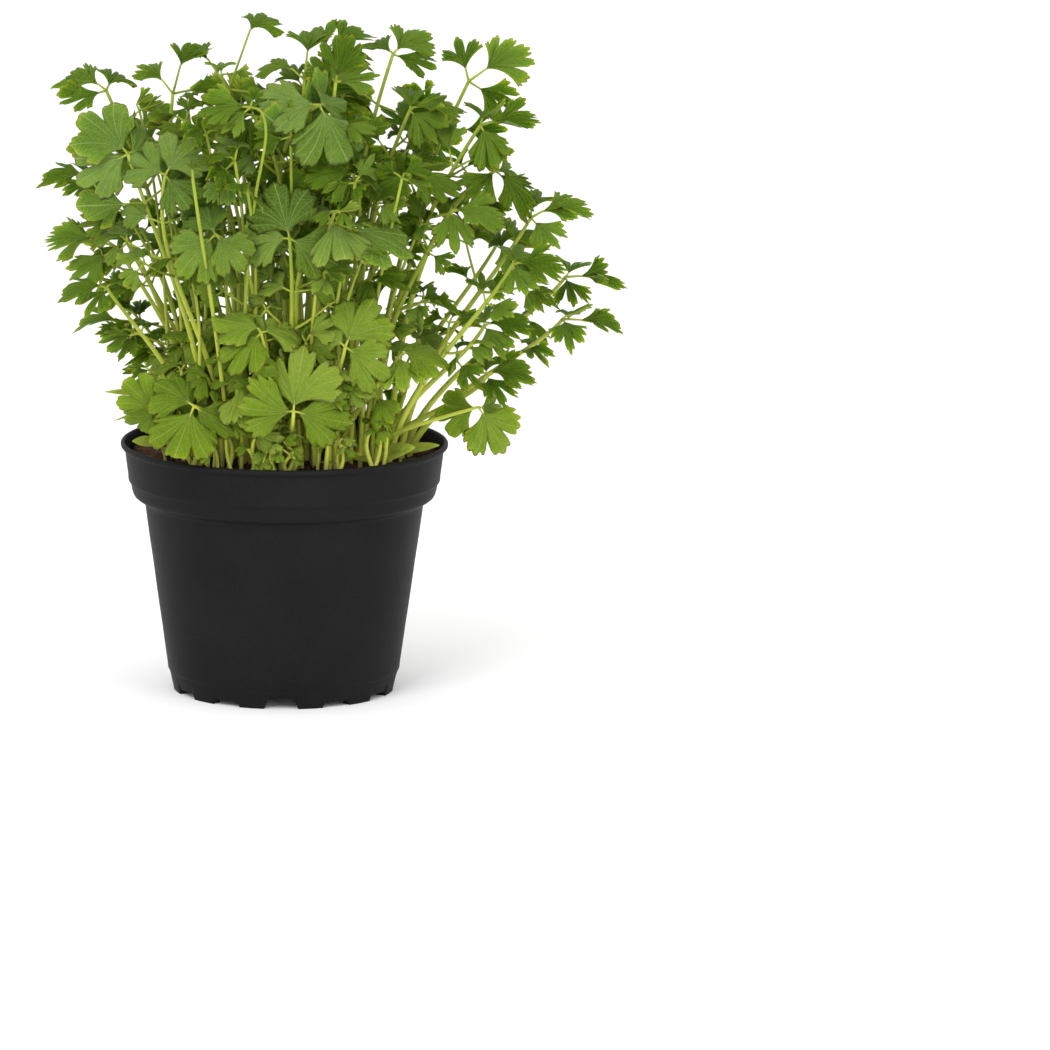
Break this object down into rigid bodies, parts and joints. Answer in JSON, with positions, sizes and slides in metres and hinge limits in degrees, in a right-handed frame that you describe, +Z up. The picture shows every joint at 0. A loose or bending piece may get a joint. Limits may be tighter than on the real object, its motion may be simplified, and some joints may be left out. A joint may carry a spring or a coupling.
{
  "type": "potted parsley",
  "caption": "Full bunch of parsley with cut and toothed leaflets on slim stems, leaning to one side, in a round tapered black nursery pot with a deep collar and a footed base.",
  "frame": {"origin": "on the surface that the pot stands on, below the middle of the whole plant; the pot's axis stands 19 mm towards -X and 6.1 mm towards -Y from it, because the bunch leans to +X", "axes": "+Z up along the pot's axis; the front of the bunch, the side that the picture shows, faces -Y, and the bunch leans to +X"},
  "size_m": [0.2326, 0.1634, 0.2688],
  "materials": {
    "pot": "matte black moulded plastic with a soft broad sheen",
    "soil": "dark reddish brown fibrous potting soil",
    "upper_leaf": "fresh green leaf, satin upper face, paler stem",
    "lower_leaf": "lighter yellow-green leaf, satin upper face, paler stem",
    "seed_leaf": "pale yellow-green seed leaf, smooth"
  },
  "bodies": {
    "root": {"pot": "pot", "soil": "soil", "leafy_stem_01": "upper_leaf", "leafy_stem_02": "upper_leaf", "leafy_stem_03": "upper_leaf", "leafy_stem_04": "lower_leaf", "leafy_stem_05": "lower_leaf", "leafy_stem_06": "upper_leaf", "leafy_stem_07": "upper_leaf", "leafy_stem_08": "upper_leaf", "leafy_stem_09": "upper_leaf", "leafy_stem_10": "upper_leaf", "leafy_stem_11": "upper_leaf", "leafy_stem_12": "upper_leaf", "leafy_stem_13": "upper_leaf", "leafy_stem_14": "upper_leaf", "leafy_stem_15": "upper_leaf", "leafy_stem_16": "upper_leaf", "leafy_stem_17": "upper_leaf", "leafy_stem_18": "upper_leaf", "leafy_stem_19": "upper_leaf", "leafy_stem_20": "upper_leaf", "leafy_stem_21": "upper_leaf", "leafy_stem_22": "upper_leaf", "leafy_stem_23": "lower_leaf", "leafy_stem_24": "lower_leaf", "leafy_stem_25": "lower_leaf", "leafy_stem_26": "lower_leaf", "leafy_stem_27": "lower_leaf", "leafy_stem_28": "lower_leaf", "leafy_stem_29": "lower_leaf", "leafy_stem_30": "lower_leaf", "leafy_stem_31": "lower_leaf", "leafy_stem_32": "lower_leaf", "leafy_stem_33": "lower_leaf", "leafy_stem_34": "lower_leaf", "leafy_stem_35": "upper_leaf", "leafy_stem_36": "upper_leaf", "leafy_stem_37": "upper_leaf", "leafy_stem_38": "upper_leaf", "leafy_stem_39": "upper_leaf", "leafy_stem_40": "upper_leaf", "leafy_stem_41": "lower_leaf", "leafy_stem_42": "upper_leaf", "leafy_stem_43": "upper_leaf", "leafy_stem_44": "upper_leaf", "leafy_stem_45": "upper_leaf", "leafy_stem_46": "upper_leaf", "leafy_stem_47": "lower_leaf", "leafy_stem_48": "lower_leaf", "leafy_stem_49": "upper_leaf", "leafy_stem_50": "upper_leaf", "leafy_stem_51": "lower_leaf", "leafy_stem_52": "lower_leaf", "seedling_01": "seed_leaf", "seedling_02": "seed_leaf", "seedling_03": "seed_leaf", "seedling_04": "seed_leaf", "seedling_05": "seed_leaf"}
  },
  "joints": []
}
